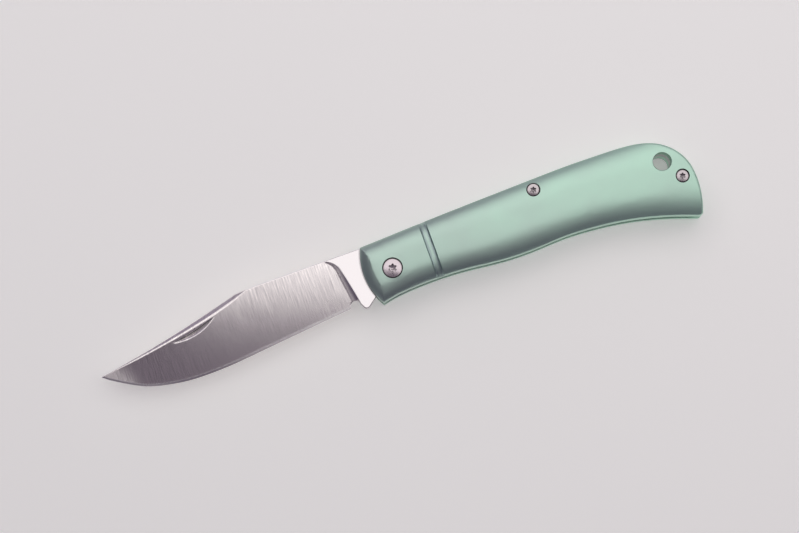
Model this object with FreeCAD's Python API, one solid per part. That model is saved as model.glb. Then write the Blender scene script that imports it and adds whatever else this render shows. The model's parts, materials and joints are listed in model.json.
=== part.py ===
import FreeCAD, Part
import math
import os

# A slip-joint folding knife lying open on its side. X runs along the handle toward the butt, Y toward
# the spine, Z out of the side that carries the nail nick. All pieces are built about the pivot, with
# the mid-plane of the blade at Z = 0, and are moved at the end so that the bottom centre of the whole
# part is the origin. Lengths are millimetres.

Vector = FreeCAD.Vector

# Handle
HANDLE_LENGTH = 93.1
HANDLE_HEIGHT = 25.05
HANDLE_THICKNESS = 12.0
EDGE_THICKNESS = 2.0
RIM_RADIUS = 0.8
BUTT_CORNER_RADIUS = 1.1
BOLSTER_BEVEL_LAND = 2.5
BOLSTER_BEVEL_ANGLE = 28.5
BOLSTER_BEVEL_BULGE = 0.34
GROOVE_WIDTH = 2.2
GROOVE_DEPTH = 0.6
GROOVE_CORNER_RADIUS = 0.55

# Blade
BLADE_REACH = 83.6
BLADE_HEIGHT = 18.25
BLADE_THICKNESS = 2.8
EDGE_BEVEL_WIDTH = 0.55
EDGE_SHOULDER_THICKNESS = 0.4
EDGE_LAND = 0.04
PLUNGE_RADIUS = 2.0
PLUNGE_BEND_RADIUS = 4.8
PLUNGE_BEND_DROP = 4.0
SWEDGE_WIDTH = 1.25
SWEDGE_ANGLE = 35.0
SWEDGE_BORDER_WIDTH = 0.3
SWEDGE_BORDER_ANGLE = 14.0
NICK_LENGTH = 13.0
NICK_DEPTH = 0.7
CHOIL_RADIUS = 1.4

# Tang and backspring
CLOSING_ANGLE = 172.0
SPRING_SEAT_HEIGHT = 6.2
TANG_SEAT_LENGTH = 3.0
SPRING_END_SETBACK = 1.2
KICK_REACH = 10.6
KICK_RADIUS = 0.95
KICK_FRONT_SPREAD = 75.0
KICK_REAR_SPREAD = 29.0
SEAT_CLEARANCE = 0.03
STOP_CLEARANCE = 0.05

# Pivot, barrels and screws
WASHER_THICKNESS = 0.2
WASHER_RADIUS = 5.2
WASHER_PLAY = 0.02
PIVOT_BARREL_RADIUS = 2.5
PIVOT_SCREW_RADIUS = 1.5
PIVOT_HEAD_RADIUS = 2.5
PIVOT_HEAD_HEIGHT = 1.5
PIVOT_SOCKET_POINTS = 2.4
PIVOT_SOCKET_VALLEYS = 1.75
PIVOT_SOCKET_DEPTH = 0.95
BODY_BARREL_RADIUS = 1.8
BODY_SCREW_RADIUS = 1.0
BODY_HEAD_RADIUS = 1.6
BODY_HEAD_HEIGHT = 1.1
BODY_SOCKET_POINTS = 1.75
BODY_SOCKET_VALLEYS = 1.27
BODY_SOCKET_DEPTH = 0.7
HEAD_RECESS = 0.25
COUNTERBORE_GAP = 0.31
BARREL_SEAT_DEPTH = 1.0
BARREL_END_GAP = 0.1
THREAD_REACH = 2.4
FIT_CLEARANCE = 0.03
SCREW_CLEARANCE = 0.1
LANYARD_RADIUS = 2.5
LANYARD_CHAMFER = 0.15
CUT_OVERRUN = 3.0
CROWN_OVERRUN = 0.3

# Handle outline: shares of the handle's length and height, measured from the pivot
BACK_SHARES = [
    (-0.068, 0.333), (0.088, 0.360), (0.262, 0.386), (0.436, 0.407), (0.581, 0.421), (0.697, 0.416),
    (0.777, 0.397), (0.844, 0.321), (0.886, 0.196), (0.913, 0.024), (0.921, -0.160), (0.917, -0.359),
    (0.902, -0.585),
]
BELLY_SHARES = [
    (0.902, -0.585), (0.842, -0.506), (0.784, -0.439), (0.726, -0.385), (0.668, -0.345), (0.581, -0.309),
    (0.494, -0.299), (0.436, -0.311), (0.378, -0.319), (0.291, -0.305), (0.204, -0.271), (0.118, -0.258),
    (0.030, -0.268), (-0.028, -0.293), (-0.056, -0.318),
]
BOLSTER_FRONT_SHARES = (-0.0843, 0.032)
GROOVE_SHARE = 0.1235
CENTRE_SCREW_SHARES = (0.461, 0.289)
END_SCREW_SHARES = (0.882, -0.110)
LANYARD_SHARES = (0.8405, 0.1125)

# Crown of a scale: place along the handle, lower edge and upper edge, as shares like the outline's
CROWN_SHARES = [
    (-0.129, -0.355, 0.330), (-0.054, -0.317, 0.335), (0.032, -0.268, 0.350), (GROOVE_SHARE, -0.258, 0.366),
    (0.290, -0.305, 0.390), (CENTRE_SCREW_SHARES[0], -0.305, 0.410), (0.580, -0.309, 0.421),
    (0.726, -0.385, 0.424), (0.842, -0.506, 0.424), (0.967, -0.670, 0.424),
]
CROWN_POWER = 3.7
CROWN_STEPS = 8

# Underside of the backspring behind its straight front arm
SPRING_UNDERSIDE_SHARES = [
    (0.145, 0.2475), (0.215, 0.226), (0.301, 0.200), (0.387, 0.181), (0.462, 0.172), (0.537, 0.160),
    (0.612, 0.130), (0.677, 0.088), (0.730, 0.034), (0.784, -0.052), (0.838, -0.188), (0.881, -0.296),
    (0.935, -0.370),
]

# Blade outline: shares of the blade's reach and height, measured from the pivot
SPINE_SHARE = 0.4575
SPINE_SHARES = [(-0.395, 0.4575), (-0.455, 0.452), (-0.507, 0.441)]
CLIP_SHARES = [
    (-0.507, 0.441), (-0.590, 0.342), (-0.677, 0.241), (-0.760, 0.154), (-0.839, 0.078), (-0.920, 0.009),
    (-1.0, -0.056), (-1.05, -0.092),
]
EDGE_SHARES = [
    (-0.108, -0.307), (-0.193, -0.347), (-0.290, -0.392), (-0.386, -0.436), (-0.483, -0.481),
    (-0.580, -0.525), (-0.677, -0.543), (-0.742, -0.532), (-0.806, -0.488), (-0.871, -0.407),
    (-0.935, -0.259), (-0.968, -0.166), (-1.0, -0.060), (-1.05, 0.115),
]
SWEDGE_START_SHARE = -0.465
SWEDGE_WIDTH_SHARES = [0.80, 0.98, 0.84, 0.64, 0.42, 0.20, 0.0]
NICK_START_SHARES = (-0.7505, 0.0376)
NICK_ANGLE = 13.0
NICK_TILT = 31.0
PLUNGE_SHARE = -0.1652
PLUNGE_LEAN = 7.7
PLUNGE_BEND = 65.0
CHOIL_SHARES = (-0.1510, -0.3205)
TANG_RELIEF_SHARES = (-0.0765, -0.2877)

# Screw heads: how much of a head's height is straight, the slope of a socket's floor and its first lobe
BRIM_SHARE = 0.82
SOCKET_FLOOR_ANGLE = 24.0
SOCKET_TURN = 10.0
STEEP_ANGLE = 10.0

# Sizes worked out from the ones above
SLOT = BLADE_THICKNESS + 2 * (WASHER_THICKNESS + WASHER_PLAY)
INNER_FACE = SLOT / 2
SCALE_THICKNESS = (HANDLE_THICKNESS - SLOT) / 2
CROWN_FACE = INNER_FACE + SCALE_THICKNESS
HALF_BLADE = BLADE_THICKNESS / 2
SPINE_HEIGHT = SPINE_SHARE * BLADE_HEIGHT
X_AXIS = Vector(1, 0, 0)
Z_AXIS = Vector(0, 0, 1)
ORIGIN = Vector(0, 0, 0)


def handle_point(shares):
    return Vector(shares[0] * HANDLE_LENGTH, shares[1] * HANDLE_HEIGHT, 0)


def blade_point(shares):
    return Vector(shares[0] * BLADE_REACH, shares[1] * BLADE_HEIGHT, 0)


def curve(points):
    """A smooth edge through the points."""
    spline = Part.BSplineCurve()
    spline.interpolate(points)
    return spline.toShape()


def arc(start, middle, end):
    return Part.Arc(start, middle, end).toShape()


def chain(points):
    """Straight edges from point to point."""
    return [Part.makeLine(a, b) for a, b in zip(points, points[1:])]


def prism(edges, low, high):
    """The closed outline, swept in Z from low to high."""
    face = Part.Face(Part.Wire(Part.__sortEdges__(edges)))
    face.translate(Vector(0, 0, low))
    return face.extrude(Vector(0, 0, high - low))


def cylinder(radius, low, high, centre=ORIGIN):
    return Part.makeCylinder(radius, high - low, Vector(centre.x, centre.y, low), Z_AXIS)


def slab(corner, opposite):
    size = opposite - corner
    return Part.makeBox(size.x, size.y, size.z, corner)


def turned_back(along, height):
    """Where a point of the tang lies with the blade open, given where it lies with the blade closed."""
    angle = math.radians(CLOSING_ANGLE)
    x = along * math.cos(angle) + height * math.sin(angle)
    y = height * math.cos(angle) - along * math.sin(angle)
    return Vector(x, y, 0)


def around(centre, radius, degrees):
    angle = math.radians(degrees)
    return Vector(centre.x + radius * math.cos(angle), centre.y + radius * math.sin(angle), 0)


def interpolated(table, place, column):
    """Straight-line reading of a table of shares ordered by its first column."""
    rows = sorted(table)
    for before, after in zip(rows, rows[1:]):
        if before[0] <= place <= after[0]:
            share = (place - before[0]) / (after[0] - before[0])
            return before[column] + share * (after[column] - before[column])
    return rows[0][column] if place < rows[0][0] else rows[-1][column]


# The handle

def bolster_front():
    """The bolster's front edge, an arc that bulges toward the blade."""
    bottom, bulge, top = (handle_point(p) for p in (BELLY_SHARES[-1], BOLSTER_FRONT_SHARES, BACK_SHARES[0]))
    return arc(bottom, bulge, top)


def handle_outline():
    back = curve([handle_point(p) for p in BACK_SHARES])
    belly = curve([handle_point(p) for p in BELLY_SHARES])
    return [back, belly, bolster_front()]


def crown_fall(share):
    """How far the outer face lies below the crown, at a share of the way from the middle to an edge."""
    return (SCALE_THICKNESS - EDGE_THICKNESS) * abs(share) ** CROWN_POWER


def crown_span(shares):
    """Middle and half width of a cross-section, which reaches a little past the outline."""
    low = shares[1] * HANDLE_HEIGHT - CROWN_OVERRUN
    high = shares[2] * HANDLE_HEIGHT + CROWN_OVERRUN
    return (low + high) / 2, (high - low) / 2


def crown_path(shares):
    """Outer line of a scale's cross-section, nearly flat in the middle and rolled toward both edges."""
    x = shares[0] * HANDLE_LENGTH
    middle, half = crown_span(shares)
    points = []
    for step in range(CROWN_STEPS + 1):
        share = 2 * step / CROWN_STEPS - 1
        points.append(Vector(x, middle + share * half, CROWN_FACE - crown_fall(share)))
    return curve(points), points[0], points[-1]


def crown_section(shares):
    outer, low_edge, high_edge = crown_path(shares)
    low_foot = Vector(low_edge.x, low_edge.y, INNER_FACE)
    high_foot = Vector(high_edge.x, high_edge.y, INNER_FACE)
    return Part.Wire([outer] + chain([high_edge, high_foot, low_foot, low_edge]))


def rim_edges(body):
    """Edges where the crown meets the side walls, from the bolster's top round the butt to its bottom."""
    sides = Part.Compound(handle_outline()[:2])
    found = []
    for edge in body.Edges:
        half_way = (edge.FirstParameter + edge.LastParameter) / 2
        middle = edge.valueAt(half_way)
        spot = Part.Vertex(Vector(middle.x, middle.y, 0))
        outside = sides.distToShape(spot)[0] < BUTT_CORNER_RADIUS / 2
        upright = abs(edge.tangentAt(half_way).z) > math.cos(math.radians(STEEP_ANGLE))
        if outside and not upright and middle.z > INNER_FACE + EDGE_THICKNESS / 2:
            found.append(edge)
    return found


def bolster_bevel():
    """What the rounded bevel along the bolster's front edge takes away."""
    front = bolster_front().Curve
    slope = math.radians(BOLSTER_BEVEL_ANGLE)
    foot = Vector(0, front.Radius, INNER_FACE + BOLSTER_BEVEL_LAND)
    top = CROWN_FACE + CROWN_OVERRUN
    head = Vector(0, foot.y - (top - foot.z) / math.tan(slope), top)
    bulge = (foot + head) / 2 + Vector(0, math.sin(slope), math.cos(slope)) * BOLSTER_BEVEL_BULGE
    bevel = arc(head, bulge, foot)
    above = head - bevel.tangentAt(bevel.FirstParameter) * CUT_OVERRUN
    beyond = foot + bevel.tangentAt(bevel.LastParameter) * CUT_OVERRUN
    sides = chain([foot, beyond, Vector(0, beyond.y, above.z), above, head])
    profile = Part.Face(Part.Wire(Part.__sortEdges__([bevel] + sides)))
    waste = profile.revolve(ORIGIN, Z_AXIS, 180)
    waste.translate(Vector(front.Center.x, front.Center.y, 0))
    return waste


def groove_section(centre, rise):
    """Flat floor, rounded corners and upright walls, from the floor to as far above the crown."""
    half = GROOVE_WIDTH / 2
    bend = half - GROOVE_CORNER_RADIUS
    inset = GROOVE_CORNER_RADIUS * (1 - math.sqrt(0.5))
    edges = []
    for side in (X_AXIS, -X_AXIS):
        top = centre + side * half + rise * GROOVE_DEPTH
        wall = centre + side * half + rise * (GROOVE_CORNER_RADIUS - GROOVE_DEPTH)
        corner = centre + side * (half - inset) + rise * (inset - GROOVE_DEPTH)
        floor = centre + side * bend - rise * GROOVE_DEPTH
        edges += [Part.makeLine(top, wall), arc(wall, corner, floor)]
        edges.append(Part.makeLine(floor, centre - rise * GROOVE_DEPTH))
        edges.append(Part.makeLine(centre + rise * GROOVE_DEPTH, top))
    return Part.Wire(Part.__sortEdges__(edges))


def groove_tool():
    """A bar bent over the crown, which leaves a groove of even depth."""
    shares = next(row for row in CROWN_SHARES if row[0] == GROOVE_SHARE)
    outer, low_edge, high_edge = crown_path(shares)
    inward = outer.tangentAt(outer.FirstParameter)
    outward = outer.tangentAt(outer.LastParameter)
    start = low_edge - inward * CUT_OVERRUN
    end = high_edge + outward * CUT_OVERRUN
    path = Part.Wire([Part.makeLine(start, low_edge), outer, Part.makeLine(high_edge, end)])
    return path.makePipeShell([groove_section(start, X_AXIS.cross(inward))], True, False)


def screw_places():
    """Centre, head radius, thread radius, barrel radius and counterbore floor of each kind of screw."""
    pivot_floor = CROWN_FACE - HEAD_RECESS - PIVOT_HEAD_HEIGHT
    body_floor = CROWN_FACE - HEAD_RECESS - BODY_HEAD_HEIGHT
    body = (BODY_HEAD_RADIUS, BODY_SCREW_RADIUS, BODY_BARREL_RADIUS)
    return {
        "pivot": (ORIGIN, PIVOT_HEAD_RADIUS, PIVOT_SCREW_RADIUS, PIVOT_BARREL_RADIUS, pivot_floor),
        "centre": (handle_point(CENTRE_SCREW_SHARES), *body, body_floor - centre_drop()),
        "end": (handle_point(END_SCREW_SHARES), *body, body_floor),
    }


def centre_drop():
    """How far the rolled surface lies below the crown at the centre screw."""
    shares = next(row for row in CROWN_SHARES if row[0] == CENTRE_SCREW_SHARES[0])
    middle, half = crown_span(shares)
    return crown_fall((CENTRE_SCREW_SHARES[1] * HANDLE_HEIGHT - middle) / half)


def scale_bores():
    """Counterbores, screw holes, barrel seats and the lanyard hole of the front scale."""
    top = CROWN_FACE + CUT_OVERRUN
    bottom = INNER_FACE - CUT_OVERRUN
    tools = []
    for centre, head, screw, barrel, floor in screw_places().values():
        tools.append(cylinder(head + COUNTERBORE_GAP, floor, top, centre))
        tools.append(cylinder(screw + SCREW_CLEARANCE, bottom, top, centre))
        tools.append(cylinder(barrel + FIT_CLEARANCE, bottom, INNER_FACE + BARREL_SEAT_DEPTH, centre))
    hole = handle_point(LANYARD_SHARES)
    tools.append(cylinder(LANYARD_RADIUS, bottom, top, hole))
    mouth = Vector(hole.x, hole.y, CROWN_FACE - LANYARD_CHAMFER)
    height = 2 * LANYARD_CHAMFER
    tools.append(Part.makeCone(LANYARD_RADIUS, LANYARD_RADIUS + height, height, mouth, Z_AXIS))
    return tools


def butt_corner_edge(body):
    corner = handle_point(BELLY_SHARES[0])
    return [edge for edge in body.Edges
            if all(Vector(v.X, v.Y, 0).distanceToPoint(corner) < FIT_CLEARANCE for v in edge.Vertexes)]


def front_scale():
    outline = prism(handle_outline(), INNER_FACE, CROWN_FACE + CUT_OVERRUN)
    outline = outline.makeFillet(BUTT_CORNER_RADIUS, butt_corner_edge(outline))
    crown = Part.makeLoft([crown_section(row) for row in CROWN_SHARES], True, False)
    body = outline.common(crown)
    body = body.makeFillet(RIM_RADIUS, rim_edges(body))
    body = body.cut(bolster_bevel()).cut(groove_tool())
    return body.cut(scale_bores())


# The blade

def grind_height(place, y):
    """Half thickness of the flat grind at a share of the reach and a height."""
    shoulder = interpolated(EDGE_SHARES, place, 1) * BLADE_HEIGHT + EDGE_BEVEL_WIDTH
    slope = (HALF_BLADE - EDGE_SHOULDER_THICKNESS / 2) / (SPINE_HEIGHT - shoulder)
    return EDGE_SHOULDER_THICKNESS / 2 + slope * (y - shoulder)


def grind_section(shares):
    """Wedge from above the spine to the sharpened edge."""
    x = shares[0] * BLADE_REACH
    edge = shares[1] * BLADE_HEIGHT
    shoulder = edge + EDGE_BEVEL_WIDTH
    top = SPINE_HEIGHT + CUT_OVERRUN
    half_top = grind_height(shares[0], top)
    half_shoulder = EDGE_SHOULDER_THICKNESS / 2
    half_land = EDGE_LAND / 2
    side = [(edge, half_land), (shoulder, half_shoulder), (top, half_top)]
    points = [Vector(x, y, z) for y, z in side] + [Vector(x, y, -z) for y, z in reversed(side)]
    return Part.makePolygon(points + points[:1])


def plunge_path():
    """Rear end of the grind: a leaning line that bends toward the tip as it nears the spine."""
    lean = math.radians(PLUNGE_LEAN)
    turned = lean + math.radians(PLUNGE_BEND)
    height = SPINE_HEIGHT - PLUNGE_BEND_DROP
    middle = PLUNGE_SHARE * BLADE_REACH
    foot = Vector(middle + BLADE_HEIGHT * math.tan(lean), -BLADE_HEIGHT, 0)
    start = Vector(middle - height * math.tan(lean), height, 0)
    centre = around(start, -PLUNGE_BEND_RADIUS, PLUNGE_LEAN)
    half_way = around(centre, PLUNGE_BEND_RADIUS, PLUNGE_LEAN + PLUNGE_BEND / 2)
    end = around(centre, PLUNGE_BEND_RADIUS, PLUNGE_LEAN + PLUNGE_BEND)
    far = end + Vector(-math.sin(turned), math.cos(turned), 0) * BLADE_HEIGHT
    return [Part.makeLine(foot, start), arc(start, half_way, end), Part.makeLine(end, far)]


def plunge_rod():
    """Rounds the rear end of the grind on the front face."""
    edges = plunge_path()
    foot = edges[0].Vertexes[0].Point
    ring = Part.Wire(Part.makeCircle(PLUNGE_RADIUS, foot, edges[0].tangentAt(edges[0].FirstParameter)))
    rod = Part.Wire(edges).makePipeShell([ring], True, False)
    middle = grind_height(PLUNGE_SHARE, 0)
    slope = math.atan2(grind_height(PLUNGE_SHARE, SPINE_HEIGHT) - middle, SPINE_HEIGHT)
    rod.rotate(ORIGIN, X_AXIS, math.degrees(slope))
    rod.translate(Z_AXIS * (middle + PLUNGE_RADIUS))
    return rod


def grind_waste():
    """Everything ahead of the plunge that lies outside the ground wedge."""
    wedge = Part.makeLoft([grind_section(row) for row in EDGE_SHARES], True, False)
    edges = plunge_path()
    foot = edges[0].Vertexes[0].Point
    far = edges[-1].Vertexes[-1].Point
    front = CLIP_SHARES[-1][0] * BLADE_REACH - CUT_OVERRUN
    edges += chain([far, Vector(front, far.y, 0), Vector(front, foot.y, 0), foot])
    return prism(edges, -BLADE_THICKNESS, BLADE_THICKNESS).cut(wedge)


def swedge_section(place, border, width, angle):
    """Triangle above a sloping face of the swedge on the front side, at a place along the blade."""
    x = place * BLADE_REACH
    face = grind_height(place, border)
    fall = math.tan(math.radians(angle))
    reach = 2 * width
    inner = Vector(x, border - reach, face + reach * fall)
    outer = Vector(x, border + reach, face - reach * fall)
    top = Vector(x, border + reach, face + reach * fall)
    return Part.makePolygon([inner, outer, top, inner])


def swedge_tool(width, angle):
    """Cuts one face of the swedge, from the spine just behind the clip to the tip."""
    sections = [swedge_section(SWEDGE_START_SHARE, SPINE_HEIGHT, width, angle)]
    for (place, height), share in zip(CLIP_SHARES, SWEDGE_WIDTH_SHARES):
        sections.append(swedge_section(place, height * BLADE_HEIGHT - share * width, width, angle))
    return Part.makeLoft(sections, True, False)


def nick_tool():
    """A large disc, tilted so that it cuts a crescent with a straight upper wall."""
    half = NICK_LENGTH / 2
    tilt = math.radians(NICK_TILT)
    sunk = NICK_DEPTH / math.cos(tilt)
    radius = (half ** 2 + sunk ** 2) / (2 * sunk)
    turn = math.radians(NICK_ANGLE)
    along = Vector(math.cos(turn), math.sin(turn), 0)
    down = Vector(math.sin(turn), -math.cos(turn), 0)
    middle = blade_point(NICK_START_SHARES) + along * half
    face = grind_height(middle.x / BLADE_REACH, middle.y)
    axis = down * math.cos(tilt) + Z_AXIS * math.sin(tilt)
    lowest = middle + Z_AXIS * (face - NICK_DEPTH)
    lift = Z_AXIS * math.cos(tilt) - down * math.sin(tilt)
    return Part.makeCylinder(radius, radius, lowest + lift * radius, axis)


def kick_flank(spread):
    """End of the kick's round tip, that many degrees ahead of where it meets the closed spring."""
    angle = math.radians(spread)
    height = SPRING_SEAT_HEIGHT - SEAT_CLEARANCE - KICK_RADIUS * (1 - math.cos(angle))
    return turned_back(KICK_REACH + KICK_RADIUS * math.sin(angle), height)


def tang_outline():
    """Edges from the spine's rear end, round the tang, to the kick and the choil."""
    stop = -SPRING_END_SETBACK
    seat = SPRING_SEAT_HEIGHT
    cam = math.hypot(TANG_SEAT_LENGTH, seat)
    shoulder = Vector(stop, SPINE_HEIGHT, 0)
    heel = Vector(TANG_SEAT_LENGTH, seat, 0)
    closed_start = turned_back(-TANG_SEAT_LENGTH, seat - SEAT_CLEARANCE)
    closed_end = turned_back(TANG_SEAT_LENGTH, seat - SEAT_CLEARANCE)
    edges = chain([shoulder, Vector(stop, seat, 0), heel])
    edges.append(arc(heel, Vector(cam, 0, 0), closed_start))
    relief = blade_point(TANG_RELIEF_SHARES)
    rear, kick, front = (kick_flank(spread) for spread in (-KICK_REAR_SPREAD, 0, KICK_FRONT_SPREAD))
    choil = blade_point(CHOIL_SHARES)
    notch_rear = choil + Vector(CHOIL_RADIUS, 0, 0)
    notch_front = choil - Vector(CHOIL_RADIUS, 0, 0)
    notch_top = choil + Vector(0, CHOIL_RADIUS, 0)
    edges += chain([closed_start, closed_end, relief, rear])
    edges.append(arc(rear, kick, front))
    edges += chain([front, notch_rear])
    edges.append(arc(notch_rear, notch_top, notch_front))
    below = Vector(notch_front.x, -BLADE_HEIGHT, 0)
    edges += chain([notch_front, below])
    return edges, shoulder, below


def blade_outline():
    edges, shoulder, below = tang_outline()
    straight = blade_point(SPINE_SHARES[0])
    front = blade_point(CLIP_SHARES[-1])
    corner = Vector(front.x, below.y, 0)
    edges += chain([below, corner, front]) + chain([straight, shoulder])
    edges.append(curve([blade_point(p) for p in CLIP_SHARES]))
    edges.append(curve([blade_point(p) for p in SPINE_SHARES]))
    return edges


def mirrored(shape):
    return shape.mirror(ORIGIN, Z_AXIS)


def blade():
    body = prism(blade_outline(), -HALF_BLADE, HALF_BLADE)
    body = body.cut(grind_waste())
    rod = plunge_rod()
    body = body.cut([rod, mirrored(rod)])
    border = swedge_tool(SWEDGE_WIDTH + SWEDGE_BORDER_WIDTH, SWEDGE_BORDER_ANGLE)
    for swedge in (swedge_tool(SWEDGE_WIDTH, SWEDGE_ANGLE), border):
        body = body.cut([swedge, mirrored(swedge)])
    body = body.cut(nick_tool())
    return body.cut(cylinder(PIVOT_BARREL_RADIUS + FIT_CLEARANCE, -BLADE_THICKNESS, BLADE_THICKNESS))


# The backspring

def backspring():
    front = STOP_CLEARANCE - SPRING_END_SETBACK
    seat = SPRING_SEAT_HEIGHT + SEAT_CLEARANCE
    under = [handle_point(p) for p in SPRING_UNDERSIDE_SHARES]
    arm = Vector(under[0].x, seat, 0)
    under[0] = arm
    top = Vector(front, HANDLE_HEIGHT, 0)
    far = Vector(under[-1].x, HANDLE_HEIGHT, 0)
    edges = chain([Vector(front, seat, 0), arm]) + [curve(under)]
    edges += chain([under[-1], far, top, Vector(front, seat, 0)])
    body = prism(handle_outline(), -INNER_FACE, INNER_FACE).common(prism(edges, -INNER_FACE, INNER_FACE))
    places = screw_places()
    fit = BODY_BARREL_RADIUS + FIT_CLEARANCE
    tools = [cylinder(fit, -SLOT, SLOT, places[name][0]) for name in ("centre", "end")]
    tools.append(cylinder(LANYARD_RADIUS, -SLOT, SLOT, handle_point(LANYARD_SHARES)))
    return body.cut(tools)


# Washers, barrels and screws

def front_washer():
    ring = cylinder(WASHER_RADIUS, INNER_FACE - WASHER_THICKNESS, INNER_FACE)
    return ring.cut(cylinder(PIVOT_BARREL_RADIUS + FIT_CLEARANCE, -SLOT, SLOT))


def barrel(place):
    centre, head, screw, radius, floor = place
    end = INNER_FACE + BARREL_SEAT_DEPTH - BARREL_END_GAP
    sleeve = cylinder(radius, -end, end, centre)
    return sleeve.cut(cylinder(screw + FIT_CLEARANCE, -SLOT - end, SLOT + end, centre))


def six_lobes(points, valleys, depth, top, centre):
    """Six-lobed socket with a drilled, sloping floor. Its depth is measured from the top of the head."""
    between = (points + valleys) / 4
    edges = []
    for lobe in range(6):
        turn = SOCKET_TURN + 60 * lobe
        rise, fall, following = (around(centre, between, turn + step) for step in (-15, 15, 45))
        edges.append(arc(rise, around(centre, points / 2, turn), fall))
        edges.append(arc(fall, around(centre, valleys / 2, turn + 30), following))
    socket = prism(edges, top - depth, top + depth)
    drilled = valleys / 2 * math.tan(math.radians(SOCKET_FLOOR_ANGLE))
    floor = Vector(centre.x, centre.y, top - depth - drilled)
    return socket.fuse(Part.makeCone(0, valleys / 2, drilled, floor, Z_AXIS))


def screw_piece(place, head_height, socket):
    """Button-head screw of the front side, seated on its counterbore's floor."""
    centre, head, thread, radius, floor = place
    top = floor + head_height
    brim = floor + BRIM_SHARE * head_height
    dome = (head ** 2 + (top - brim) ** 2) / (2 * (top - brim))
    bow = Vector(head / 2, 0, top - dome + math.sqrt(dome ** 2 - head ** 2 / 4))
    crown = Vector(0, 0, top)
    rim = Vector(head, 0, brim)
    side = chain([rim, Vector(head, 0, floor), Vector(0, 0, floor), crown])
    face = Part.Face(Part.Wire(Part.__sortEdges__([arc(crown, bow, rim)] + side)))
    button = face.revolve(ORIGIN, Z_AXIS, 360)
    button.translate(centre)
    tip = INNER_FACE + BARREL_SEAT_DEPTH - BARREL_END_GAP - THREAD_REACH
    shank = cylinder(thread, tip, floor, centre)
    return button.fuse(shank).removeSplitter().cut(six_lobes(*socket, top, centre))


def screws():
    places = screw_places()
    pivot = (PIVOT_SOCKET_POINTS, PIVOT_SOCKET_VALLEYS, PIVOT_SOCKET_DEPTH)
    body = (BODY_SOCKET_POINTS, BODY_SOCKET_VALLEYS, BODY_SOCKET_DEPTH)
    return {
        "pivot": screw_piece(places["pivot"], PIVOT_HEAD_HEIGHT, pivot),
        "centre": screw_piece(places["centre"], BODY_HEAD_HEIGHT, body),
        "end": screw_piece(places["end"], BODY_HEAD_HEIGHT, body),
    }


def pieces():
    made = {"front_scale": front_scale(), "front_pivot_washer": front_washer()}
    for name, piece in screws().items():
        made["front_" + name + "_screw"] = piece
    for name in list(made):
        made[name.replace("front_", "rear_")] = mirrored(made[name])
    made["blade"] = blade()
    made["backspring"] = backspring()
    for name, place in screw_places().items():
        made[name + "_barrel"] = barrel(place)
    return made


def main():
    os.makedirs("parts", exist_ok=True)
    made = pieces()
    box = FreeCAD.BoundBox()
    for shape in made.values():
        box.add(shape.optimalBoundingBox())
    shift = Vector(-box.Center.x, -box.Center.y, -box.ZMin)
    for name, shape in made.items():
        solid = shape.Solids[0]
        solid.translate(shift)
        solid.exportStep("parts/" + name + ".step")
        print(name, "solids", len(shape.Solids), "valid", solid.isValid(), "volume %.2f" % solid.Volume)
    hole = handle_point(LANYARD_SHARES) + shift
    print("pivot axis at %.4f %.4f, mid-plane at %.4f" % (shift.x, shift.y, shift.z))
    print("lanyard hole at %.4f %.4f" % (hole.x, hole.y))
    print("box %.3f %.3f %.3f" % (box.XLength, box.YLength, box.ZLength))


main()
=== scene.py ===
import json
import math

import bpy
from mathutils import Matrix, Quaternion, Vector


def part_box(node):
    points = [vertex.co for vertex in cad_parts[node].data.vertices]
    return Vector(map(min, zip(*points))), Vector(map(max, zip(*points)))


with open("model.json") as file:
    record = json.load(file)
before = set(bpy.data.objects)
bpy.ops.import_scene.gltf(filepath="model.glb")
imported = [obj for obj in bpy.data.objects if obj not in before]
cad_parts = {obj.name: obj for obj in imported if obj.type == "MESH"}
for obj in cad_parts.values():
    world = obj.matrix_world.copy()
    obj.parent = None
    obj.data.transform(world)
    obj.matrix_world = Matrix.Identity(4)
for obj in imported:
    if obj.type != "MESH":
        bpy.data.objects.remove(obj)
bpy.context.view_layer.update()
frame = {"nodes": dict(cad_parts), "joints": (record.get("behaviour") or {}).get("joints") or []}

# Lengths are metres and angles degrees, apart from the lens and its sensor, which are millimetres.
# Camera: nearly straight above the knife, leaning toward its belly side, and aimed close to the hinge
HINGE = Vector(frame["joints"][0]["pos_m"])
HINGE_TO_AIM = Vector((0.00210, 0.00033, 0.0))
AIM = HINGE + HINGE_TO_AIM
ZENITH = Vector((0.0, 0.0, 1.0))
CAMERA_DISTANCE = 0.80
CAMERA_LEAN = 6.5
KNIFE_ROLL = 19.66
LENS = 133.1
SENSOR_WIDTH = 36.0

# Floor and world
FLOOR_REACH = 4.0
FLOOR_COLOUR = (0.86, 0.85, 0.83)
FLOOR_PALER = 1.02
FLOOR_HAZE = tuple(FLOOR_PALER * part for part in FLOOR_COLOUR)
FLOOR_HAZE_STRETCH = (3.0, 3.0, 3.0)
FLOOR_HAZE_DETAIL = 2.0
FLOOR_ROUGHNESS = 0.85
FLOOR_GLOW = 0.34
WORLD_HIGH = (0.95, 0.80, 1.0)
WORLD_LOW = (0.46, 0.36, 0.66)
WORLD_STRENGTH = 0.15

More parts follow.
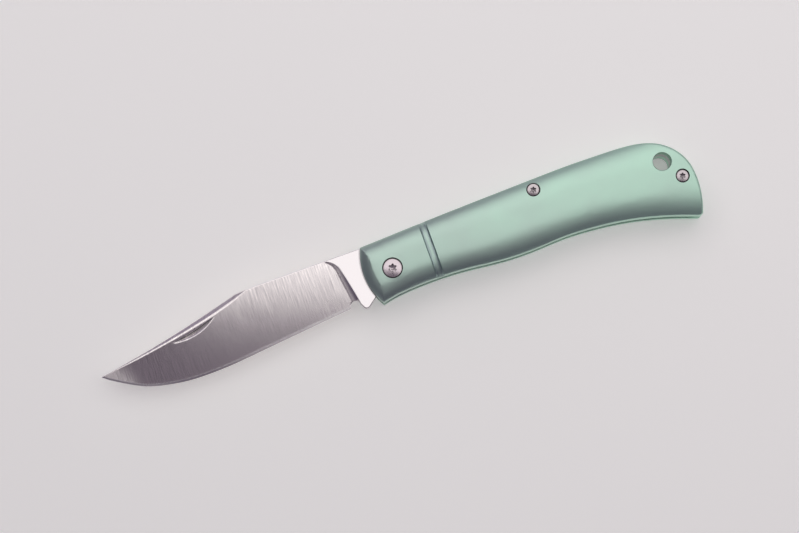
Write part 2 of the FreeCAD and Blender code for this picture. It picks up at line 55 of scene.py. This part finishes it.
# Soft boxes. Place and facing are toward the picture's right, its top and above the knife. Facing points
# away from what is lit, which is the knife where none is given, and a lamp turns about that direction.
WARM = (1.0, 0.985, 0.965)
COOL = (0.95, 0.85, 1.0)
OVERHEAD = (0.0, 0.0, 1.0)
SOFT_BOXES = {
    "overhead": {"place": (0.178, 0.3195, 0.60), "size": (1.30, 0.768), "radiance": 0.96,
                 "facing": OVERHEAD, "turn": -10.5},
    "behind": {"place": (-0.25, 0.90, 0.40), "size": (2.20, 0.52), "radiance": 0.25, "colour": COOL},
    "front": {"place": (0.21, -0.335, 0.60), "size": (0.16, 0.05), "radiance": 1.00},
    "front_left": {"place": (-0.20, -0.40, 0.60), "size": (0.26, 0.06), "radiance": 0.40},
    "left": {"place": (-0.485, -0.209, 0.60), "size": (0.71, 0.16), "radiance": 0.34,
             "facing": OVERHEAD, "turn": KNIFE_ROLL},
}

# Shading: the sharpest edge that is shaded smooth, the weight that larger faces get there, and how they
# are weighed. Points closer than the weld distance are one.
SMOOTHING = (28.0, 50, "FACE_AREA_WITH_ANGLE")
BLADE_SMOOTHING = (10.5, 80, "FACE_AREA")
WELD_DISTANCE = 1e-6

# Ranges that values are spread over, and noise where its material says nothing else. A stretch is the
# number of noise cells per metre along X, Y and Z.
RISING = (0.0, 1.0)
FALLING = (1.0, 0.0)
NOISE_RANGE = (0.3, 0.7)
NOISE_CORE = (0.35, 0.65)
NOISE_MEAN = 0.5
NOISE_DETAIL = 3.0
NOISE_ROUGHNESS = 0.55

# Cosines between a face's normal and the normal averaged around it: from a slight edge to a full one, and
# from a facet that is evened out to a shape that stays
EDGE_COSINES = (0.99, 0.90)
FACET_COSINES = (0.9994, 0.998)
EDGE_SAMPLES = 6
AVERAGE_SAMPLES = 8

# Painted shade: near black in gaps, and a darker bluish tone toward them, by how open the surface is
PAINTED_SHADE = (0.035, 0.032, 0.035)
PAINTED_SHADE_REACH = 0.0009
PAINTED_SHADE_OPENNESS = (0.40, 0.85)
BLUISH_SHADE_OPENNESS = (0.80, 0.98)
OPENNESS_SAMPLES = 8

# Scales: anodised and blasted, a little rougher toward the rear, with edges that are worn brighter.
# Painted light makes their colour lighter toward the rear, and painted shade darker and bluer toward gaps
MINT_SHADED_FRONT = (0.532, 0.692, 0.609)
MINT_LIT_REAR = (0.590, 0.858, 0.705)
MINT_WORN = (0.60, 0.74, 0.67)
MINT_PAINTED_SHADE = (0.30, 0.37, 0.42)
DRIFT_STRETCH = (70.0, 90.0, 90.0)
DRIFT_DETAIL = 2.0
PAINTED_LIGHT_ALONG = (-0.5, 0.5)
GRAIN_STRETCH = (5200.0, 5200.0, 5200.0)
GRAIN_DETAIL = 2.0
GRAIN_HEIGHT = 0.000004
GRAIN_RELIEF = 0.35
SATIN_ROUGHNESS = (0.38, 0.44)
REAR_ROUGHNESS = 0.075
WEAR_REACH = 0.0003
WEAR_STRETCH = (240.0, 900.0, 900.0)
WEAR_DETAIL = 4.0
WEAR_SHARES = (0.05, 0.35)
WEAR_GLOSS = 0.12
FACET_REACH = 0.0016

# Blade heights: how much thinner than the ricasso it is where the grind starts, half the thickness where
# the sharpened edge starts, the step over which a finish gives way to the next, and the step from that
# edge to rounded corners
GRIND_START = 0.00002
EDGE_START = 0.00021
FINISH_STEP = 0.00001
ROUNDING_STEP = 0.000105

# Blade: satin lines ground square to it, in patches that fade toward the heel. The plunge is known by how
# far its normal turns along the blade.
BLADE_LIGHT = (1.0, 0.96, 0.94)
BLADE_DARK = (0.73, 0.69, 0.695)
BLADE_CORNER_RADIUS = 0.0004
BLADE_ROUGHNESS = (0.125, 0.09)
BLADE_ANISOTROPY = 0.3
LINE_STRETCH = (3000.0, 160.0, 160.0)
PATCH_STRETCH = (1300.0, 520.0, 520.0)
LINE_DETAIL = 1.0
LINE_FADING = (1.0, 0.45)
LINE_RANGE = (0.36, 0.64)
LINE_HEIGHT = 0.000002
LINE_RELIEF = 0.2
PATCH_SHARES = (0.3, 1.0)
PLUNGE_TURN = (0.03, 0.20)
PLUNGE_ROUGHNESS = 0.34
POLISHED = (0.86, 0.83, 0.83)
POLISHED_ROUGHNESS = 0.07
POLISHED_RELIEF = 0.02
SHARPENED = (0.92, 0.90, 0.89)
SHARPENED_ROUGHNESS = 0.18

# Screws: turned, with rings about the middle of the box, in which each side counts as 1
SCREW_LIGHT = (0.74, 0.66, 0.69)
SCREW_DARK = (0.67, 0.60, 0.63)
BODY_SCREW_LIGHT = (0.63, 0.58, 0.59)
BODY_SCREW_DARK = (0.55, 0.50, 0.51)
SCREW_ROUGHNESS = (0.25, 0.22)
BOX_MIDDLE = (0.5, 0.5, 0.5)
ACROSS_AXIS = (1.0, 1.0, 0.0)
RING_PACE = 210.0
RING_TINT = 0.12
RING_HEIGHT = 0.000002
RING_RELIEF = 0.3
SPECK_STRETCH = (7000.0, 7000.0, 7000.0)

# Ground metals: dark and light colour, stretch of the grinding lines, roughness where dark and where light
SPRING_LIGHT = (0.62, 0.61, 0.61)
SPRING_DARK = (0.40, 0.39, 0.40)
BRONZE_LIGHT = (0.72, 0.50, 0.28)
BRONZE_DARK = (0.52, 0.34, 0.18)
SPRING_STEEL = (SPRING_DARK, SPRING_LIGHT, (140.0, 5000.0, 5000.0), (0.36, 0.26))
BARREL_STEEL = (SPRING_DARK, SPRING_LIGHT, (600.0, 600.0, 6000.0), (0.38, 0.28))
WASHER_BRONZE = (BRONZE_DARK, BRONZE_LIGHT, (2500.0, 2500.0, 2500.0), (0.36, 0.26))
GROUND_DETAIL = 4.0
GROUND_HEIGHT = 0.000006
GROUND_RELIEF = 0.4

# The Mix node's sockets for each kind of value: first, second and result
MIX_SOCKETS = {"FLOAT": (2, 3, 0), "VECTOR": (4, 5, 1), "RGBA": (6, 7, 2)}


def rgba(colour):
    return (*colour, 1.0)


class Shader:
    """The nodes of a material or world that lead to its shader, and short ways to add to them."""

    def __init__(self, owner, shader="Principled BSDF"):
        owner.use_nodes = True
        self.owner = owner
        self.tree = owner.node_tree
        self.out = self.tree.nodes[shader]

    def put(self, value, socket):
        """Links another node's socket to this one, or sets a number, vector or colour on it."""
        if isinstance(value, bpy.types.NodeSocket):
            self.tree.links.new(value, socket)
        else:
            socket.default_value = value

    def add(self, kind, inputs, **settings):
        """A node of that kind. Inputs go by socket name or number, and settings are its properties."""
        made = self.tree.nodes.new("ShaderNode" + kind)
        for key, value in settings.items():
            setattr(made, key, value)
        for key, value in inputs.items():
            self.put(value, made.inputs[key])
        return made

    def set(self, **values):
        """The shader's own sockets, named with _ for a space."""
        for key, value in values.items():
            self.put(value, self.out.inputs[key.replace("_", " ")])

    def place(self, kind="Object"):
        return self.add("TexCoord", {}).outputs[kind]

    def axis(self, letter, where):
        return self.add("SeparateXYZ", {0: where}).outputs[letter]

    def math(self, operation, first, second=0.0):
        return self.add("Math", {0: first, 1: second}, operation=operation).outputs[0]

    def vector(self, operation, first, second, result="Vector"):
        return self.add("VectorMath", {0: first, 1: second}, operation=operation).outputs[result]

    def noise(self, where, stretch, detail=NOISE_DETAIL):
        """Noise from 0 to 1, with as many cells per metre as the stretch says."""
        mapped = self.add("Mapping", {"Vector": where, "Scale": stretch}).outputs[0]
        inputs = {"Vector": mapped, "Scale": 1.0, "Detail": detail, "Roughness": NOISE_ROUGHNESS}
        return self.add("TexNoise", inputs).outputs["Fac"]

    def spread(self, value, start, end=RISING):
        """The value carried from one range to another, and held at the ends."""
        ranges = {"From Min": start[0], "From Max": start[1], "To Min": end[0], "To Max": end[1]}
        return self.add("MapRange", {"Value": value, **ranges}).outputs[0]

    def blend(self, share, first, second, kind="FLOAT"):
        """A number, or another kind of value, that goes from first to second with the share."""
        first_socket, second_socket, result = MIX_SOCKETS[kind]
        inputs = {0: share, first_socket: first, second_socket: second}
        return self.add("Mix", inputs, data_type=kind).outputs[result]

    def mix(self, share, first, second):
        """A colour that goes from first to second with the share."""
        both = [rgba(colour) if isinstance(colour, tuple) else colour for colour in (first, second)]
        return self.blend(share, *both, kind="RGBA")

    def normal(self):
        return self.add("NewGeometry", {}).outputs["Normal"]

    def averaged(self, reach, samples=AVERAGE_SAMPLES):
        """The normal, averaged over that distance."""
        return self.add("Bevel", {"Radius": reach}, samples=samples).outputs[0]

    def edges(self, reach):
        """1 along sharp edges, fading to 0 at about that distance from them."""
        around = self.averaged(reach, EDGE_SAMPLES)
        return self.spread(self.vector("DOT_PRODUCT", around, self.normal(), "Value"), EDGE_COSINES)

    def evened(self, reach):
        """The normal averaged over that distance, where that turns it by a few degrees at most."""
        around = self.averaged(reach)
        straight = self.normal()
        turned = self.spread(self.vector("DOT_PRODUCT", around, straight, "Value"), FACET_COSINES)
        return self.blend(turned, around, straight, "VECTOR")

    def with_painted_shade(self, colour, shade_tone=None):
        """The colour with painted shade: near black in corners, gaps and holes, and a darker given tone
        toward them.
        """
        shade = self.add("AmbientOcclusion", {"Distance": PAINTED_SHADE_REACH}, samples=OPENNESS_SAMPLES)
        openness = shade.outputs["AO"]
        if shade_tone:
            colour = self.mix(self.spread(openness, BLUISH_SHADE_OPENNESS, FALLING), colour, shade_tone)
        return self.mix(self.spread(openness, PAINTED_SHADE_OPENNESS, FALLING), colour, PAINTED_SHADE)

    def bump(self, height, distance, strength, **inputs):
        inputs.update({"Height": height, "Distance": distance, "Strength": strength})
        return self.add("Bump", inputs).outputs[0]


def new_shader(name):
    return Shader(bpy.data.materials.new(name))


def anodised(name):
    """Satin anodised metal: soft random changes of colour, with painted light that makes it lighter toward
    the rear, a fine blasted grain, and edges rubbed a little paler.
    """
    made = new_shader(name)
    where = made.place()
    low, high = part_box("front_scale")
    along = made.axis("X", where)
    tone_and_painted_light = made.noise(where, DRIFT_STRETCH, DRIFT_DETAIL)
    # Painted light: the colour is made lighter from the front of the scale to its rear.
    tone_and_painted_light = made.math("ADD", made.spread(along, (low[0], high[0]), PAINTED_LIGHT_ALONG), tone_and_painted_light)
    grain = made.noise(where, GRAIN_STRETCH, GRAIN_DETAIL)
    rubbed = made.noise(where, WEAR_STRETCH, WEAR_DETAIL)
    worn = made.math("MULTIPLY", made.edges(WEAR_REACH), made.spread(rubbed, NOISE_CORE, WEAR_SHARES))
    colour = made.mix(worn, made.mix(tone_and_painted_light, MINT_SHADED_FRONT, MINT_LIT_REAR), MINT_WORN)
    rougher = made.spread(along, (0.0, high[0]), (0.0, REAR_ROUGHNESS))
    satin = made.math("ADD", made.spread(grain, NOISE_RANGE, SATIN_ROUGHNESS), rougher)
    polish = made.math("SUBTRACT", satin, made.math("MULTIPLY", worn, WEAR_GLOSS))
    relief = made.bump(grain, GRAIN_HEIGHT, GRAIN_RELIEF, Normal=made.evened(FACET_REACH))
    # Base colour carries painted shade: near black in gaps and a darker bluish tone toward them.
    made.set(Base_Color=made.with_painted_shade(colour, MINT_PAINTED_SHADE), Metallic=1.0, Roughness=polish, Normal=relief)
    return made.owner


def blade_steel(name):
    """Satin steel ground square to the blade, with a polished ricasso and a bright sharpened edge."""
    made = new_shader(name)
    where = made.place()
    low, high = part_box("blade")
    half = (high[2] - low[2]) / 2
    height = made.math("ABSOLUTE", made.math("SUBTRACT", made.axis("Z", where), low[2] + half))
    ricasso = made.spread(height, (half - GRIND_START - FINISH_STEP, half - GRIND_START))
    edge = made.spread(height, (EDGE_START, EDGE_START + FINISH_STEP), FALLING)
    turned = made.math("ABSOLUTE", made.axis("X", made.place("Normal")))
    plunge = made.spread(turned, PLUNGE_TURN)
    patch = made.spread(made.noise(where, PATCH_STRETCH, LINE_DETAIL), NOISE_CORE, PATCH_SHARES)
    fading = made.spread(made.axis("X", where), (low[0], high[0]), LINE_FADING)
    lines = made.noise(where, LINE_STRETCH, LINE_DETAIL)
    streak = made.blend(made.math("MULTIPLY", patch, fading), NOISE_MEAN, lines)
    satin = made.mix(made.spread(streak, LINE_RANGE), BLADE_DARK, BLADE_LIGHT)
    colour = made.mix(ricasso, made.mix(edge, satin, SHARPENED), POLISHED)
    gloss = made.blend(edge, made.spread(streak, LINE_RANGE, BLADE_ROUGHNESS), SHARPENED_ROUGHNESS)
    gloss = made.blend(plunge, gloss, PLUNGE_ROUGHNESS)
    gloss = made.blend(ricasso, gloss, POLISHED_ROUGHNESS)
    thick = made.spread(height, (EDGE_START, EDGE_START + ROUNDING_STEP))
    rounded = made.blend(thick, made.normal(), made.averaged(BLADE_CORNER_RADIUS), "VECTOR")
    depth = made.blend(ricasso, LINE_RELIEF, POLISHED_RELIEF)
    # Base colour carries painted shade in gaps, such as along the front of the scales.
    made.set(Base_Color=made.with_painted_shade(colour), Metallic=1.0, Roughness=gloss, Anisotropic=BLADE_ANISOTROPY)
    along = made.add("CombineXYZ", {"X": 1.0}).outputs[0]
    ways = {"vector_type": "VECTOR", "convert_from": "OBJECT", "convert_to": "WORLD"}
    made.set(Tangent=made.add("VectorTransform", {0: along}, **ways).outputs[0])
    made.set(Normal=made.bump(streak, LINE_HEIGHT, depth, Normal=rounded))
    return made.owner


def screw_steel(name, dark, light):
    """Turned steel: fine rings about the axis, which runs through the middle of the piece's box."""
    made = new_shader(name)
    apart = made.vector("SUBTRACT", made.place("Generated"), BOX_MIDDLE)
    flat = made.vector("MULTIPLY", apart, ACROSS_AXIS)
    reach = made.add("VectorMath", {0: flat}, operation="LENGTH").outputs["Value"]
    rings = made.math("SINE", made.math("MULTIPLY", reach, RING_PACE))
    speck = made.noise(made.place(), SPECK_STRETCH)
    wear = made.math("ADD", made.math("MULTIPLY", rings, RING_TINT), speck)
    colour = made.mix(made.spread(wear, NOISE_RANGE), dark, light)
    # Base colour carries painted shade in the gap round the head and in its socket.
    made.set(Base_Color=made.with_painted_shade(colour), Metallic=1.0)
    made.set(Roughness=made.spread(wear, NOISE_RANGE, SCREW_ROUGHNESS))
    made.set(Normal=made.bump(rings, RING_HEIGHT, RING_RELIEF))
    return made.owner


def ground_metal(name, dark, light, stretch, roughness):
    """Ground metal, with colour, gloss and relief from the grinding lines."""
    made = new_shader(name)
    lines = made.noise(made.place(), stretch, GROUND_DETAIL)
    made.set(Base_Color=made.mix(made.spread(lines, NOISE_RANGE), dark, light), Metallic=1.0)
    made.set(Roughness=made.spread(lines, NOISE_RANGE, roughness))
    made.set(Normal=made.bump(lines, GROUND_HEIGHT, GROUND_RELIEF))
    return made.owner


def pale_floor(name):
    """Matt and pale. Seen directly or in metal it glows a little, and it keeps the object's shadow."""
    made = new_shader(name)
    haze = made.noise(made.place(), FLOOR_HAZE_STRETCH, FLOOR_HAZE_DETAIL)
    rays = made.add("LightPath", {}).outputs
    seen = made.math("MAXIMUM", rays["Is Camera Ray"], rays["Is Glossy Ray"])
    seen = made.math("MAXIMUM", seen, rays["Is Transmission Ray"])
    made.set(Base_Color=made.mix(haze, FLOOR_COLOUR, FLOOR_HAZE), Roughness=FLOOR_ROUGHNESS)
    made.set(Emission_Color=rgba(FLOOR_COLOUR), Emission_Strength=made.math("MULTIPLY", seen, FLOOR_GLOW))
    return made.owner


def dress_nodes():
    """Gives each CAD node the finish of the first ending that its name has, and smooth shading."""
    finishes = {
        "scale": anodised("anodised_scale"),
        "blade": blade_steel("blade_steel"),
        "pivot_screw": screw_steel("pivot_screw_steel", SCREW_DARK, SCREW_LIGHT),
        "screw": screw_steel("body_screw_steel", BODY_SCREW_DARK, BODY_SCREW_LIGHT),
        "spring": ground_metal("spring_steel", *SPRING_STEEL),
        "barrel": ground_metal("barrel_steel", *BARREL_STEEL),
        "washer": ground_metal("washer_bronze", *WASHER_BRONZE),
    }
    for name, node in frame["nodes"].items():
        finish = next(finishes[ending] for ending in finishes if name.endswith(ending))
        node.data.materials.clear()
        node.data.materials.append(finish)
        smooth(node, *(BLADE_SMOOTHING if name == "blade" else SMOOTHING))


def smooth(node, angle, weight, mode):
    """Smooth shading inside edges sharper than the angle."""
    for polygon in node.data.polygons:
        polygon.use_smooth = True
    weld = node.modifiers.new("weld", "WELD")
    weld.merge_threshold = WELD_DISTANCE
    split = node.modifiers.new("sharp_edges", "EDGE_SPLIT")
    split.split_angle = math.radians(angle)
    flat = node.modifiers.new("flat_faces_first", "WEIGHTED_NORMAL")
    flat.weight = weight
    flat.mode = mode


def add_object(name, data):
    made = bpy.data.objects.new(name, data)
    bpy.context.scene.collection.objects.link(made)
    return made


def picture_axes():
    """The picture's right and up directions in the frame, with the camera straight above."""
    roll = math.radians(KNIFE_ROLL)
    return Vector((math.cos(roll), -math.sin(roll), 0.0)), Vector((math.sin(roll), math.cos(roll), 0.0))


def stand(thing, place, right, top, back):
    """Puts a camera or lamp there, with those directions as its right and top. It looks opposite to back."""
    thing.matrix_world = Matrix.Translation(place) @ Matrix((right, top, back)).transposed().to_4x4()


def add_camera():
    right, up = picture_axes()
    lean = math.radians(CAMERA_LEAN)
    back = math.cos(lean) * ZENITH - math.sin(lean) * up
    top = math.cos(lean) * up + math.sin(lean) * ZENITH
    data = bpy.data.cameras.new("camera")
    data.lens = LENS
    data.sensor_width = SENSOR_WIDTH
    camera = add_object("camera", data)
    stand(camera, AIM + CAMERA_DISTANCE * back, right, top, back)
    bpy.context.scene.camera = camera


def add_soft_box(name, place, size, radiance, facing=None, turn=0.0, colour=WARM):
    """A rectangular lamp that looks that bright in a mirror. Facing points away from what it lights."""
    right, up = picture_axes()

    def in_frame(ways):
        return ways[0] * right + ways[1] * up + ways[2] * ZENITH

    data = bpy.data.lights.new(name, "AREA")
    data.shape = "RECTANGLE"
    data.size, data.size_y = size
    data.energy = radiance * math.pi * size[0] * size[1]
    data.color = colour
    back = in_frame(facing or place).normalized()
    across = (right - right.dot(back) * back).normalized()
    across.rotate(Quaternion(back, math.radians(turn)))
    stand(add_object(name, data), AIM + in_frame(place), across, back.cross(across), back)


def add_floor():
    points = [(FLOOR_REACH * x, FLOOR_REACH * y, 0.0) for x, y in ((-1, -1), (1, -1), (1, 1), (-1, 1))]
    mesh = bpy.data.meshes.new("floor")
    mesh.from_pydata(points, [], [(0, 1, 2, 3)])
    mesh.materials.append(pale_floor("pale_floor"))
    floor = add_object("floor", mesh)


def add_world():
    """A dim sky that goes from one colour at the horizon and below to another overhead."""
    sky = Shader(bpy.data.worlds.new("world"), "Background")
    height = sky.axis("Z", sky.place("Generated"))
    sky.set(Color=sky.mix(height, WORLD_LOW, WORLD_HIGH), Strength=WORLD_STRENGTH)
    bpy.context.scene.world = sky.owner


dress_nodes()
add_floor()
add_world()
for lamp, settings in SOFT_BOXES.items():
    add_soft_box(lamp, **settings)
add_camera()
bpy.context.scene.view_settings.view_transform = "Standard"
